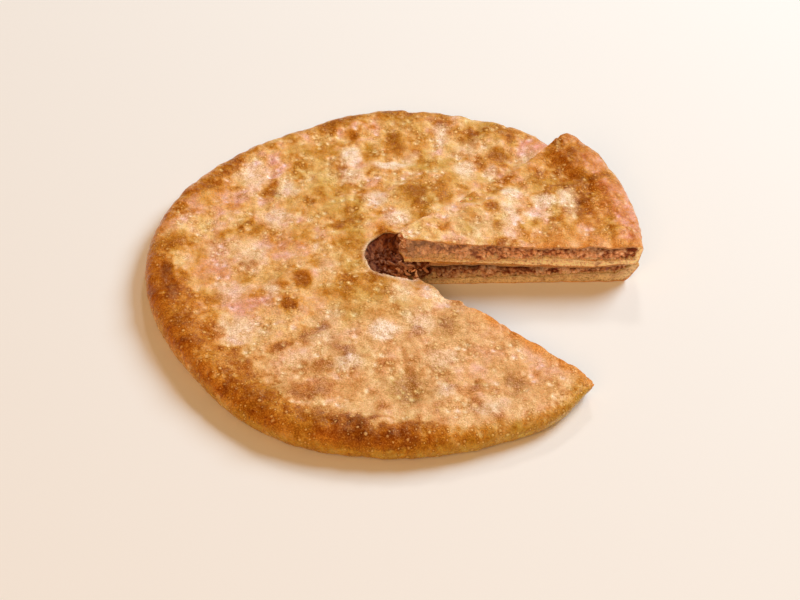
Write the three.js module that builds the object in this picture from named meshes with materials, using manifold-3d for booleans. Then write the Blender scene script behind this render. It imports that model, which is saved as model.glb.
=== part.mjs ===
// An Ossetian pie: a flat round of browned dough over minced meat, with a vent in the middle of its
// top crust. One slice is cut out and lies on the pie beside the gap that it left.
// Millimetres, +Z up. The pie is built round the axis of its circle, with +Y towards its far side.

import * as THREE from "three";
import Module from "manifold-3d";

const wasm = await Module();
wasm.setup();

// Driving dimensions of the pie
const PIE_RADIUS = 160;
const CENTRE_HEIGHT = 20.5;
const SAG_HEIGHT = 15.5;
const SAG_START = 20;
const SAG_END = 125;
const RIM_LIFT = { radius: 148, height: 2.4, width: 12 };
const UPPER_ROUND = 11;
const LOWER_ROUND = 7;
const TOP_CRUST = 1.8;
const BOTTOM_CRUST = 4;
const RIM_CRUST = 5;
const GAP = 0.3;

// The pie isn't a true circle: pushes on its outline at an angle, in degrees and millimetres
const OUTLINE_PUSHES = [
  { angle: 2, width: 11, push: -5.5 },
  { angle: 58, width: 8, push: 4 },
  { angle: 92, width: 18, push: 1.8 },
  { angle: 120, width: 16, push: -4.8 },
  { angle: 168, width: 20, push: 3.8 },
  { angle: 214, width: 16, push: -3.3 },
  { angle: 245, width: 12, push: 1.8 },
  { angle: 307, width: 10, push: 3 },
];

// The vent in the top crust, and how far the filling lies below it
const VENT = { x: 0.6, y: 1.4, radius: 21.8, wobble: 0.8, lobes: 5 };
const VENT_DEPTH = 6;
const VENT_CRAG = 1.6;

// The gap that the slice left: its inner corner, the angles of its two cuts, and its rounded tip
const WEDGE = { x: -0.4, y: -5.3, farAngle: 1.2, nearAngle: -39.5, reach: 240, flare: 11 };

// The slice on the pie: where its two cuts start, their angles, and its own sizes
const SLICE = { nearX: 4, nearY: -4, nearAngle: 0.3, farX: 1.5, farY: 4, farAngle: 42.8, reach: 240 };
const SLICE_RADIUS = 159.5;
const SLICE_PUSHES = [{ angle: 38, width: 16, push: 5 }];
const SLICE_THICKNESS = 14;
const SLICE_TIP = { extra: 4.7, width: 45 };
const SLICE_CURL = { x: 112, y: 104, height: 3.5, width: 26 };
const SLICE_UPPER_ROUND = 10;
const SLICE_LOWER_ROUND = 6;
const SLICE_BOTTOM_CRUST = 3.2;
const SLICE_FLOOR = 14.5;

// Dents that both the crust and the filling follow, and the largest blisters of the top crust
const DENTS = [
  { x: 33, y: -33, height: -5, width: 16 },
  { x: 5, y: -112, height: -1.2, width: 18 },
  { x: -38, y: 74, height: -1, width: 20 },
];
const LARGE_BLISTERS = [
  { x: -86, y: 68, height: 1.3, width: 11 },
  { x: -60, y: -15, height: 1.3, width: 12 },
  { x: -69, y: -41, height: 1.2, width: 11 },
  { x: -73, y: -79, height: 1.3, width: 12 },
  { x: 16, y: 60, height: 1.4, width: 14 },
  { x: -4, y: 125, height: 1.2, width: 12 },
  { x: -27, y: -94, height: 1.2, width: 12 },
  { x: 61, y: -81, height: 1.2, width: 12 },
  { x: 66, y: 33, height: 1.3, width: 12 },
  { x: 124, y: 40, height: 1.4, width: 15 },
  { x: 112, y: 82, height: 1.2, width: 14 },
];
const SMALL_BLISTERS = { count: 90, seed: 41, low: -0.45, high: 0.75, narrow: 8, wide: 14 };
const SLICE_BLISTERS = { count: 60, seed: 77, low: -0.45, high: 0.75, narrow: 8, wide: 14 };

// How finely the surfaces are divided, and the torn grain of the filling where it is cut
const TOP_RINGS = 21;
const RIM_STEPS = 6;
const INNER_RINGS = 13;
const INNER_CROWD = 1.3;
const INNER_RIM_STEPS = 4;
const VENT_STEPS = 32;
const CRAG = { step: 4.2, recess: 0.9, depth: 0.8 };
const CUT_TOP = 60;

const CRUST_COLOR = 0xd99b55;
const FILLING_COLOR = 0x96604a;

function gauss(distance, width) {
  return Math.exp(-((distance / width) ** 2));
}

function polar(angleDegrees, radius) {
  const angle = THREE.MathUtils.degToRad(angleDegrees);
  return new THREE.Vector2(Math.cos(angle), Math.sin(angle)).multiplyScalar(radius);
}

function sumOfMounds(x, y, mounds) {
  return mounds.reduce((sum, m) => sum + m.height * gauss(Math.hypot(x - m.x, y - m.y), m.width), 0);
}

// Seeded blisters and hollows, spread evenly over the round
function scatter({ count, seed, low, high, narrow, wide }) {
  const draw = THREE.MathUtils.seededRandom;
  draw(seed);
  return Array.from({ length: count }, () => {
    const place = polar(360 * draw(), PIE_RADIUS * Math.sqrt(draw()));
    const height = THREE.MathUtils.lerp(low, high, draw());
    const width = THREE.MathUtils.lerp(narrow, wide, draw());
    return { x: place.x, y: place.y, height, width };
  });
}

const pieBlisters = [...LARGE_BLISTERS, ...scatter(SMALL_BLISTERS)];
const sliceBlisters = [...LARGE_BLISTERS, ...scatter(SLICE_BLISTERS)];

// Distance from the middle to a pushed round outline, at an angle in radians
function pushedOutline(angle, radius, pushes) {
  const degrees = THREE.MathUtils.radToDeg(angle);
  return pushes.reduce((sum, { angle: at, width, push }) => {
    const turn = THREE.MathUtils.euclideanModulo(degrees - at + 180, 360) - 180;
    return sum + push * gauss(turn, width);
  }, radius);
}

function pieOutline(angle) {
  return pushedOutline(angle, PIE_RADIUS, OUTLINE_PUSHES);
}

function sliceOutline(angle) {
  return pushedOutline(angle, SLICE_RADIUS, SLICE_PUSHES);
}

// Height of the pie's top without its blisters: it sags outwards and lifts again at the rim
function pieBase(x, y) {
  const radius = Math.hypot(x, y);
  const sag = THREE.MathUtils.smoothstep(radius, SAG_START, SAG_END);
  const lift = RIM_LIFT.height * gauss(radius - RIM_LIFT.radius, RIM_LIFT.width);
  return THREE.MathUtils.lerp(CENTRE_HEIGHT, SAG_HEIGHT, sag) + lift + sumOfMounds(x, y, DENTS);
}

function pieTop(x, y) {
  return pieBase(x, y) + sumOfMounds(x, y, pieBlisters);
}

// Height of the slice's top without its blisters: thicker at its tip and curled up at its far corner
function sliceBase(x, y) {
  const tip = SLICE_TIP.extra * gauss(Math.hypot(x, y), SLICE_TIP.width);
  return pieBase(x, y) + SLICE_THICKNESS + tip + sumOfMounds(x, y, [SLICE_CURL]);
}

function sliceTop(x, y) {
  return sliceBase(x, y) + sumOfMounds(x, y, sliceBlisters);
}

function solid(points, triangles) {
  const vertProperties = new Float32Array(points.flat());
  const triVerts = new Uint32Array(triangles.flat());
  return new wasm.Manifold(new wasm.Mesh({ numProp: 3, vertProperties, triVerts }));
}

// Rings down a rounded rim: how far each lies inside the outline, and its share of the edge's height
function rimRings(steps, upperRound, lowerRound) {
  return Array.from({ length: steps }, (_, index) => {
    const turn = Math.PI * (0.5 - (index + 1) / steps);
    const round = turn > 0 ? upperRound : lowerRound;
    return { inset: round * (1 - Math.cos(turn)), share: (1 + Math.sin(turn)) / 2 };
  });
}

// A closed round body: a top of hexagonal rings at the height of a function, a rounded rim and a flat floor
function roundBody({ outline, top, floor, upperRound, lowerRound, rings, crowd = 1, rimSteps }) {
  const points = [[0, 0, top(0, 0)]];
  const triangles = [];
  const edge = 6 * rings;

  const ringPoint = (ring, index) => (ring === 0 ? 0 : 1 + 3 * ring * (ring - 1) + (index % (6 * ring)));
  for (let ring = 1; ring <= rings; ring += 1) {
    for (let index = 0; index < 6 * ring; index += 1) {
      const angle = (2 * Math.PI * index) / (6 * ring);
      const radius = (ring / rings) ** crowd * (outline(angle) - upperRound);
      const x = radius * Math.cos(angle);
      const y = radius * Math.sin(angle);
      points.push([x, y, top(x, y)]);
    }
    for (let sector = 0; sector < 6; sector += 1) {
      for (let step = 0; step < ring; step += 1) {
        const inner = ringPoint(ring - 1, sector * (ring - 1) + step);
        const outer = ringPoint(ring, sector * ring + step);
        const outerNext = ringPoint(ring, sector * ring + step + 1);
        triangles.push([inner, outer, outerNext]);
        if (step < ring - 1) {
          triangles.push([inner, outerNext, ringPoint(ring - 1, sector * (ring - 1) + step + 1)]);
        }
      }
    }
  }

  let upper = ringPoint(rings, 0);
  const edgeStart = upper;
  for (const { inset, share } of rimRings(rimSteps, upperRound, lowerRound)) {
    const lower = points.length;
    for (let index = 0; index < edge; index += 1) {
      const angle = (2 * Math.PI * index) / edge;
      const radius = outline(angle) - inset;
      const height = THREE.MathUtils.lerp(floor, points[edgeStart + index][2], share);
      points.push([radius * Math.cos(angle), radius * Math.sin(angle), height]);
    }
    for (let index = 0; index < edge; index += 1) {
      const next = (index + 1) % edge;
      triangles.push([upper + index, lower + index, lower + next]);
      triangles.push([upper + index, lower + next, upper + next]);
    }
    upper = lower;
  }

  const middle = points.length;
  points.push([0, 0, floor]);
  for (let index = 0; index < edge; index += 1) {
    triangles.push([middle, upper + ((index + 1) % edge), upper + index]);
  }
  return solid(points, triangles);
}

// A closed upright prism over an outline of points, with plain walls
function prism(outline, low, high) {
  return wallBody([low, high].map((height) => outline.map(({ x, y }) => [x, y, height])));
}

// A closed upright prism whose walls are torn: each point of a grid on them stands in or out by a seeded draw
function craggyPrism(corners, low, high, offset, seed) {
  const draw = THREE.MathUtils.seededRandom;
  draw(seed);
  const wall = corners.flatMap((corner, index) => {
    const next = corners[(index + 1) % corners.length];
    const along = next.clone().sub(corner);
    const steps = Math.max(1, Math.round(along.length() / CRAG.step));
    const normal = new THREE.Vector2(along.y, -along.x).normalize();
    return Array.from({ length: steps }, (_, step) => {
      return { place: corner.clone().addScaledVector(along, (step + 0.5) / steps), normal };
    });
  });
  const layerCount = Math.ceil((high - low) / CRAG.step);
  const layers = Array.from({ length: layerCount + 1 }, (_, layer) => {
    const height = THREE.MathUtils.lerp(low, high, layer / layerCount);
    return wall.map(({ place, normal }) => {
      const out = offset + CRAG.depth * (2 * draw() - 1);
      return [place.x + normal.x * out, place.y + normal.y * out, height];
    });
  });
  return wallBody(layers);
}

// A closed body through rings of points that lie one above the other
function wallBody(layers) {
  const count = layers[0].length;
  const points = layers.flat();
  const triangles = [];
  for (let layer = 0; layer < layers.length - 1; layer += 1) {
    const lower = layer * count;
    const upper = lower + count;
    for (let index = 0; index < count; index += 1) {
      const next = (index + 1) % count;
      triangles.push([lower + index, lower + next, upper + next]);
      triangles.push([lower + index, upper + next, upper + index]);
    }
  }
  const cap = (layer) => {
    const contour = layers[layer].map(([x, y]) => new THREE.Vector2(x, y));
    return THREE.ShapeUtils.triangulateShape(contour, []).map((face) => face.map((n) => n + layer * count));
  };
  triangles.push(...cap(0).map(([a, b, c]) => [a, c, b]), ...cap(layers.length - 1));
  return solid(points, triangles);
}

// Plan of the gap: two straight cuts from its inner corner, the near one turning away at the rim
function wedgeCorners() {
  const apex = new THREE.Vector2(WEDGE.x, WEDGE.y);
  const along = polar(WEDGE.nearAngle, 1);
  const away = polar(WEDGE.nearAngle - 90, 1);
  const bend = [-2, -1, 0].map((step) => {
    const run = PIE_RADIUS + step * WEDGE.flare;
    const turn = 0.5 * WEDGE.flare * ((step + 2) / 2) ** 2;
    return apex.clone().addScaledVector(along, run).addScaledVector(away, turn);
  });
  const nearEnd = bend[2].clone().addScaledVector(polar(WEDGE.nearAngle - 60, 1), WEDGE.reach - PIE_RADIUS);
  const farEnd = apex.clone().add(polar(WEDGE.farAngle, WEDGE.reach));
  return [apex, ...bend, nearEnd, farEnd];
}

function sliceCorners() {
  const near = new THREE.Vector2(SLICE.nearX, SLICE.nearY);
  const far = new THREE.Vector2(SLICE.farX, SLICE.farY);
  const nearEnd = near.clone().add(polar(SLICE.nearAngle, SLICE.reach));
  const farEnd = far.clone().add(polar(SLICE.farAngle, SLICE.reach));
  return [near, nearEnd, farEnd, far];
}

// Plan of the vent, a round with a few soft lobes
function ventOutline() {
  return Array.from({ length: VENT_STEPS }, (_, step) => {
    const angle = (360 * step) / VENT_STEPS;
    const lobe = VENT.wobble * Math.sin(THREE.MathUtils.degToRad(angle) * VENT.lobes);
    return polar(angle, VENT.radius + lobe).add(new THREE.Vector2(VENT.x, VENT.y));
  });
}

// The pie's filling sinks below the vent, with lumps of mince there
function fillingTop(x, y) {
  const fromVent = Math.hypot(x - VENT.x, y - VENT.y);
  const inVent = 1 - THREE.MathUtils.smoothstep(fromVent, VENT.radius / 2, VENT.radius + RIM_CRUST);
  const lump = VENT_CRAG * (2 * THREE.MathUtils.seededRandom() - 1);
  return pieBase(x, y) - TOP_CRUST - GAP + inVent * (lump - VENT_DEPTH);
}

function pieSolids() {
  const inner = { rings: INNER_RINGS, crowd: INNER_CROWD, rimSteps: INNER_RIM_STEPS };
  const dough = roundBody({
    outline: pieOutline, top: pieTop, floor: 0,
    upperRound: UPPER_ROUND, lowerRound: LOWER_ROUND, rings: TOP_RINGS, rimSteps: RIM_STEPS,
  });
  const cavity = roundBody({
    outline: (angle) => pieOutline(angle) - RIM_CRUST,
    top: (x, y) => pieBase(x, y) - TOP_CRUST, floor: BOTTOM_CRUST,
    upperRound: UPPER_ROUND - RIM_CRUST, lowerRound: UPPER_ROUND - RIM_CRUST, ...inner,
  });
  const filling = roundBody({
    outline: (angle) => pieOutline(angle) - RIM_CRUST - GAP,
    top: fillingTop, floor: BOTTOM_CRUST + GAP,
    upperRound: UPPER_ROUND - RIM_CRUST, lowerRound: UPPER_ROUND - RIM_CRUST, ...inner,
  });
  const gap = prism(wedgeCorners(), -CUT_TOP, CUT_TOP);
  const tornGap = craggyPrism(wedgeCorners(), 0, CENTRE_HEIGHT + GAP, CRAG.recess, SMALL_BLISTERS.seed);
  const vent = prism(ventOutline(), BOTTOM_CRUST + VENT_DEPTH, CUT_TOP);
  return {
    dough,
    crust: dough.subtract(cavity).subtract(vent).subtract(gap),
    filling: filling.subtract(tornGap),
  };
}

// The slice lies on the pie, so its underside follows the pie's top
function sliceSolids(pieDough) {
  const inner = { rings: INNER_RINGS, rimSteps: INNER_RIM_STEPS };
  const dough = roundBody({
    outline: sliceOutline, top: sliceTop, floor: SLICE_FLOOR,
    upperRound: SLICE_UPPER_ROUND, lowerRound: SLICE_LOWER_ROUND, rings: TOP_RINGS, rimSteps: RIM_STEPS,
  });
  const bed = roundBody({
    outline: pieOutline, top: pieBase, floor: 0,
    upperRound: UPPER_ROUND, lowerRound: LOWER_ROUND, rings: INNER_RINGS, rimSteps: RIM_STEPS,
  });
  const cavity = roundBody({
    outline: (angle) => sliceOutline(angle) - RIM_CRUST,
    top: (x, y) => sliceBase(x, y) - TOP_CRUST, floor: SLICE_FLOOR,
    upperRound: SLICE_UPPER_ROUND - RIM_CRUST, lowerRound: SLICE_LOWER_ROUND, ...inner,
  });
  const filling = roundBody({
    outline: (angle) => sliceOutline(angle) - RIM_CRUST - GAP,
    top: (x, y) => sliceBase(x, y) - TOP_CRUST - GAP, floor: SLICE_FLOOR,
    upperRound: SLICE_UPPER_ROUND - RIM_CRUST, lowerRound: SLICE_LOWER_ROUND, ...inner,
  });
  const plan = prism(sliceCorners(), 0, CUT_TOP);
  const tornPlan = craggyPrism(sliceCorners(), SLICE_FLOOR, CUT_TOP, -CRAG.recess, SLICE_BLISTERS.seed);
  const bedTop = GAP + SLICE_BOTTOM_CRUST;
  const hollow = cavity.subtract(bed.translate([0, 0, bedTop]));
  return {
    crust: dough.intersect(plan).subtract(pieDough.translate([0, 0, GAP])).subtract(hollow),
    filling: filling.intersect(tornPlan).subtract(bed.translate([0, 0, bedTop + GAP])),
  };
}

function pieceMesh(name, body, color, roughness) {
  const { numProp, vertProperties, triVerts } = body.getMesh();
  const geometry = new THREE.BufferGeometry();
  geometry.setAttribute("position", new THREE.BufferAttribute(vertProperties, numProp));
  geometry.setIndex(new THREE.BufferAttribute(triVerts, 1));
  geometry.computeVertexNormals();
  const mesh = new THREE.Mesh(geometry, new THREE.MeshStandardMaterial({ color, roughness, metalness: 0 }));
  mesh.name = name;
  return mesh;
}

const pie = pieSolids();
const slice = sliceSolids(pie.dough);

const whole = new THREE.Group();
whole.add(pieceMesh("pie_crust", pie.crust, CRUST_COLOR, 0.45));
whole.add(pieceMesh("pie_filling", pie.filling, FILLING_COLOR, 0.6));
whole.add(pieceMesh("slice_crust", slice.crust, CRUST_COLOR, 0.45));
whole.add(pieceMesh("slice_filling", slice.filling, FILLING_COLOR, 0.6));

// The origin lies under the middle of the whole
const middle = new THREE.Box3().setFromObject(whole).getCenter(new THREE.Vector3());
whole.position.set(-middle.x, -middle.y, 0);

export default whole;
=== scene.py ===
"""An Ossetian pie with a slice laid on it: baked crust, minced filling and their cut faces.

Sizes are in millimetres, in the pie's own plan: the middle of its circle is the zero point, +X is to
the right, +Y to the far side and +Z up. Meshes are moved into the frame and scaled to metres at the end.
"""

import math
from types import SimpleNamespace

import bpy
import numpy as np
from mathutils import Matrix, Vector


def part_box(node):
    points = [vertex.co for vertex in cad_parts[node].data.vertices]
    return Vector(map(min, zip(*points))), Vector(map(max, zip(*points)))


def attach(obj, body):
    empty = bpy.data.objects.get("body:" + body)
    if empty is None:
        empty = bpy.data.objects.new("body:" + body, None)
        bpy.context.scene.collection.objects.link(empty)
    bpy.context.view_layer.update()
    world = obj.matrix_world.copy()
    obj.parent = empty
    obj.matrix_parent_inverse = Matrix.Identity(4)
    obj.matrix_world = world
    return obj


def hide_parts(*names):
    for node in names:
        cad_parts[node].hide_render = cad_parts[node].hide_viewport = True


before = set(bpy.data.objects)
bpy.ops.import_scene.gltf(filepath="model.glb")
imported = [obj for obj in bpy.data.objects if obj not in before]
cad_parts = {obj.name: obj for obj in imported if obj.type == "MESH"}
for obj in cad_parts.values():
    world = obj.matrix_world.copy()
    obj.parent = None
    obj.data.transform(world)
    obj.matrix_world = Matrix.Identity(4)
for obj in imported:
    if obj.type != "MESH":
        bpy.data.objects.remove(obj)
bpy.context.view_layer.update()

MM = 0.001
TINY = 1e-6
TURN = 2 * math.pi

# The pie, as its solids have it
PIE_RADIUS = 160.0
CENTRE_HEIGHT = 20.5
SAG_HEIGHT = 15.5
SAG_START = 20.0
SAG_END = 125.0
RIM_LIFT = (148.0, 2.4, 12.0)
UPPER_ROUND = 11.0
LOWER_ROUND = 7.0
TOP_CRUST = 1.2
BOTTOM_CRUST = 4.6
RIM_CRUST = 5.0
RIM_DOUGH = 3.4
OUTLINE_PUSHES = [
    (2, 11, -4.0), (58, 8, 4.0), (92, 18, 1.8), (120, 16, -4.8),
    (168, 20, 3.8), (214, 16, -3.3), (245, 12, 1.8), (307, 10, 3.0),
]
DENTS = [(33, -33, -5.0, 16), (5, -112, -1.2, 18), (-38, 74, -1.0, 20), (122, -100, -3.4, 24)]

# The vent, and the gap that the slice left
VENT_CENTRE = np.array([0.6, 1.4])
VENT_RADIUS = 21.8
VENT_DEPTH = 9.5
VENT_LIP = 0.9
WEDGE_APEX = np.array([-0.4, -5.3])
FAR_CUT = math.radians(1.2)
NEAR_CUT = math.radians(360 - 39.5)
PIE_CUTS = (WEDGE_APEX, FAR_CUT, NEAR_CUT)
NEAR_FLARE = 3.5

# The slice: the point where its two cuts would meet, their angles, and its own sizes
SLICE_APEX = np.array([-7.1, -4.1])
SLICE_NEAR = math.radians(0.3)
SLICE_FAR = math.radians(42.8)
SLICE_CUTS = (SLICE_APEX, SLICE_NEAR, SLICE_FAR)
SLICE_TIP_REACH = 11.3
SLICE_RADIUS = 159.5
SLICE_PUSHES = [(38, 16, 5.0), (0, 8, -2.5)]
SLICE_THICKNESS = 14.0
SLICE_TIP = (4.7, 45.0)
SLICE_CURL = [(112, 104, 3.5, 26)]
SLICE_UPPER_ROUND = 10.0
SLICE_LOWER_ROUND = 6.0
SLICE_BOTTOM_CRUST = 2.5
SLICE_RIM_CRUST = 3.6
SLICE_LIFT = 0.5

# At a cut the rim's shoulder is sharper, its lower round smaller, its widest place higher and its foot drawn
# in: the changes of the two rounds, of the widest place as a share of the height, and of the lean
RIM_BELLY = 0.5
CUT_SPREAD = math.radians(9)
FAR_CUT_RIM = (0.0, -4.0, 0.4, 6.5)
NEAR_CUT_RIM = (-6.5, -3.0, 0.3, 5.0)
SLICE_CUT_RIM = (-6.5, -3.0, 0.4, 1.5)

# Swells of the two tops: x, y, height, width
PIE_MOUNDS = [
    (-86, 68, 1.3, 11), (-60, -15, 1.3, 12), (-69, -41, 1.2, 11), (-73, -79, 1.3, 12), (16, 60, 1.6, 14),
    (-4, 125, 1.2, 12), (-27, -94, 1.2, 12), (61, -81, 1.2, 12), (66, 33, 1.3, 12), (124, 40, 1.4, 15),
    (32, 86, 1.8, 13), (-19, 90, 1.6, 12), (-42, 103, 1.4, 11), (60, 112, 1.6, 12), (-14, -62, 1.2, 11),
    (72, 122, 1.8, 12), (13, -18, -3.4, 8), (-136, -10, 2.0, 7), (-149, -21, -1.0, 7),
]
SLICE_MOUNDS = [
    (57, 27, 2.0, 15), (88, 26, -1.3, 13), (108, 58, 1.5, 14), (112, 20, 1.2, 13), (84, 52, -1.0, 12),
    (68, 14, 1.4, 8), (46, 16, -1.0, 7), (44, -3, -2.2, 14), (121, -2, 1.2, 12),
]

# How far the near cut's edge waves in or out of the crust: distance from the apex, width, depth
NEAR_WAVES = [(40, 6, 2.0), (51, 4, -0.8), (59, 5, 2.2), (74, 5, -0.7), (92, 8, 0.8), (112, 6, -0.7)]

# Where the slice's bottom crust is thicker: x, y, height, width
SLICE_FLOOR_SWELLS = [(104, -4, 4.2, 30), (8, -4, -0.6, 24), (60, -4, -0.7, 16)]

# Where the pie's top crust is thicker at the far cut: x, y, thickness, width
TOP_CRUST_SWELLS = [(25, -5, 1.8, 8)]

# Where the slice's lower edge presses the pie's top down: from x, y to x, y, with depth and width
PRESSED = [(0, -4, 155, -3, 2.2, 14)]

# Folds of the two tops: from x, y to x, y, with depth and width
PIE_FOLDS = [(2, -82, 9, -121, 1.3, 3.5), (24, -100, 52, -134, 0.9, 4.0)]
SLICE_FOLDS = [(88, 72, 118, 66, 0.8, 4.0)]

# Seeds of the lumps and of the skin's pattern, and how far the slice shifts that pattern, which seen from
# the camera then runs on across the slice's far edge
TOP_LUMPS = 60
SKIN_PATTERN = 300
SLICE_SHIFT = np.array([0.0, 15.5])

# How finely the surfaces are divided
TOP_STEP = 1.02
SLICE_STEP = 0.65
HIDDEN_POINTS = 40
HIDDEN_SHARE = 0.11
HIDDEN_CROWD = 0.04
FILLING_STEP = 0.6
CORE_REACH = 0.6
CUT_LAYERS = 6
UNDERSIDE_COARSER = 1.3
OUTLINE_ANGLES = 1440
CRUST_ANGLES = 721
FILLING_ANGLES = 361

# Patches of the two tops: x, y, length, width, strength, and an angle in degrees where they are turned.
# First the browned spots
PIE_SPOTS = [
    (-86, 68, 6, 7, 0.9), (-60, 57, 3.5, 4, 0.6), (-60, -20, 6.5, 8.5, 1.0), (-68, -42, 6, 8, 1.0),
    (-72, -79, 9, 4, 1.0, 30), (-47, -62, 5, 3.5, 0.9, 10), (-31, 47, 5, 7, 0.65), (-24, 63, 4, 7, 0.5),
    (-13, 69, 5, 4, 0.5), (-39, 12, 3, 5, 0.6), (-30, -22, 5, 5, 0.7), (-17, -20, 8, 5, 0.65),
    (-20, 108, 5, 9, 0.5), (-4, 125, 6, 12, 0.75), (12, 66, 9, 10, 0.75, 30), (16, 56, 7, 8, 0.75),
    (27, 70, 7, 8, 0.7), (44, 72, 4, 4, 0.55), (69, 105, 8, 6, 0.8), (55, 99, 5, 8, 0.55),
    (77, 126, 4, 10, 0.85), (52, 128, 13, 9, 0.3), (14, 120, 7, 14, 0.5), (10, 147, 12, 6, 0.5),
    (24, 97, 10, 7, 0.4), (30, -60, 6, 8, 0.65), (62, -80, 4, 3.5, 0.6), (48, -108, 4, 4, 0.65),
    (-45, -94, 8, 5, 0.75, 45), (-8, -127, 5, 4, 0.75), (-6, -92, 6, 5, 0.6), (-48, 136, 9, 6, 0.65, 40),
    (-118, -34, 6, 5, 0.7), (-90, 35, 7, 5, 0.55), (-81, 15, 4, 12, 0.45), (-140, 18, 9, 9, 0.65),
    (-112, 97, 7, 7, 0.6), (-128, 72, 5, 6, 0.6), (-105, 20, 9, 7, 0.3), (-62, 25, 5, 7, 0.4),
    (72, 130, 9, 7, 0.7, -40), (70, -108, 6, 8, 0.5), (8, -112, 8, 13, 0.5), (85, -100, 4, 4, 0.5),
    (91, -116, 8, 11, 0.4), (-35, 147, 12, 5, 0.55, 30), (-147, -12, 12, 5, 1.0, -76),
    (-144, -27, 11, 6, 1.0, -70), (-50, 113, 9, 8, 0.55), (0, 112, 7, 8, 0.5), (32, 80, 8, 7, 0.45),
    (32, 61, 6, 7, 0.65), (-31, 36, 6, 7, 0.5), (-30, 13, 6, 9, 0.45), (-30, -30, 8, 8, 0.45),
    (-14, -31, 8, 6, 0.5), (-133, -53, 8, 9, 0.7), (-56, -115, 10, 9, 0.95), (-42, -114, 8, 7, 0.65),
    (44, -126, 8, 8, 0.4), (-42, -134, 9, 6, 0.7), (-101, -95, 8, 8, 0.4), (-8, -52, 9, 7, 0.3),
    (16, 37, 7, 6, 0.6), (-57, -97, 7, 6, 0.5), (-127, 60, 7, 7, 0.4), (-124, 12, 9, 9, 0.35),
    (-47, 62, 7, 8, 0.35), (14, -95, 9, 8, 0.35), (72, -96, 8, 8, 0.3), (-28, -115, 8, 8, 0.4),
    (43, -115, 8, 8, 0.35), (-27, -152, 9, 7, 0.8), (-84, -134, 9, 8, 0.6),
]
SLICE_SPOTS = [
    (62, 33, 7, 6, 0.9), (66, 16, 3, 6, 0.6), (66, 54, 6, 4, 0.6, 20), (43, 46, 3, 4, 0.6),
    (40, 38, 7, 3, 0.55), (104, 25, 4, 4, 0.75), (88, 22, 3, 3, 0.6), (85, 8, 9, 5, 0.55),
    (110, 14, 6, 9, 0.55), (128, 50, 9, 8, 0.55), (122, 36, 9, 9, 0.4), (127, 20, 6, 8, 0.25),
    (126, 62, 7, 8, 0.55), (113, 70, 11, 5, 0.45), (102, 84, 9, 8, 0.6, 45), (95, 71, 8, 6, 0.8, 40),
    (112, 96, 9, 8, 0.35), (119, 80, 6, 8, 0.4), (80, 31, 4, 4, 0.5), (100, 7, 14, 5, 0.4),
    (125, 6, 12, 5, 0.4), (50, 44, 7, 5, 0.6), (47, 20, 6, 7, 0.4), (94, 19, 7, 6, 0.3),
    (32, 17, 9, 5, 0.35), (60, 16, 7, 6, 0.3), (98, 66, 8, 6, 0.5),
]

# Pale patches, where the dough stayed light, with painted sheen of the light on the butter
PIE_PALES_AND_SHEENS = [
    (-32, 105, 7, 12, 1.0), (-6, 96, 13, 5, 0.9), (30, 132, 5, 12, 0.8), (46, 92, 7, 9, 0.9),
    (88, 102, 6, 10, 0.7), (-8, -66, 9, 8, 1.0), (-30, -92, 8, 6, 0.7), (-60, -86, 8, 5, 0.3, 20),
    (-98, -62, 14, 10, 0.7), (-80, 41, 9, 8, 0.7), (-108, 14, 12, 7, 0.3), (-95, 4, 10, 14, 0.5),
    (-97, 86, 9, 12, 0.7, 20), (-104, -29, 9, 8, 0.6), (0, 38, 8, 7, 0.9), (28, -30, 9, 6, 0.5),
    (14, -58, 7, 9, 0.5), (-44, -70, 8, 9, 0.4), (-15, 60, 7, 8, 0.85), (-74, 72, 7, 10, 0.6),
    (8, 104, 5, 6, 0.5), (63, 88, 4, 8, 0.6), (28, -90, 9, 7, 0.4), (-32, 86, 8, 8, 0.8),
    (-45, -9, 6, 7, 0.4), (29, -114, 6, 6, 0.5), (56, -130, 9, 7, 0.5), (-79, -29, 6, 7, 0.8),
    (2, -31, 7, 6, 0.5), (49, 113, 8, 8, 0.4), (-44, -53, 8, 7, 0.4),
]
SLICE_PALES_AND_SHEENS = [
    (75, 50, 6, 8, 0.9), (74, 28, 5, 16, 0.7), (72, 8, 6, 6, 0.5), (90, 31, 8, 5, 0.6),
    (112, 45, 7, 11, 1.0), (113, 33, 4, 6, 0.5), (38, 16, 5, 12, 0.2), (52, 10, 4, 10, 0.3),
    (58, 18, 3, 8, 0.3), (96, 44, 9, 7, 1.0),
]

# Wet patches, where the filling's juice shows olive through the dough
PIE_STAINS = [
    (-68, 110, 12, 10, 0.7), (-58, 88, 15, 17, 0.7), (-50, 70, 17, 17, 0.75), (-38, 52, 15, 14, 0.8),
    (-30, 34, 9, 14, 0.9), (-27, 8, 8, 12, 0.6), (-22, -37, 18, 15, 0.7), (4, -112, 12, 14, 1.0),
    (30, -62, 9, 11, 0.7), (12, 62, 17, 17, 0.6), (30, -108, 7, 6, 0.6), (70, -108, 7, 8, 0.5),
    (24, 97, 12, 9, 0.7), (69, 105, 8, 7, 0.6), (0, -45, 14, 12, 0.55), (52, 126, 13, 11, 0.5),
    (-4, 122, 8, 12, 0.5), (-30, -9, 9, 11, 0.85), (-28, -52, 10, 10, 0.9), (0, 139, 14, 7, 0.5),
    (-50, 113, 10, 8, 0.6), (-26, -84, 8, 8, 0.7),
]
SLICE_STAINS = [
    (44, 13, 6, 10, 0.8), (100, 58, 15, 8, 0.7), (66, 54, 6, 5, 0.6),
]
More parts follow.
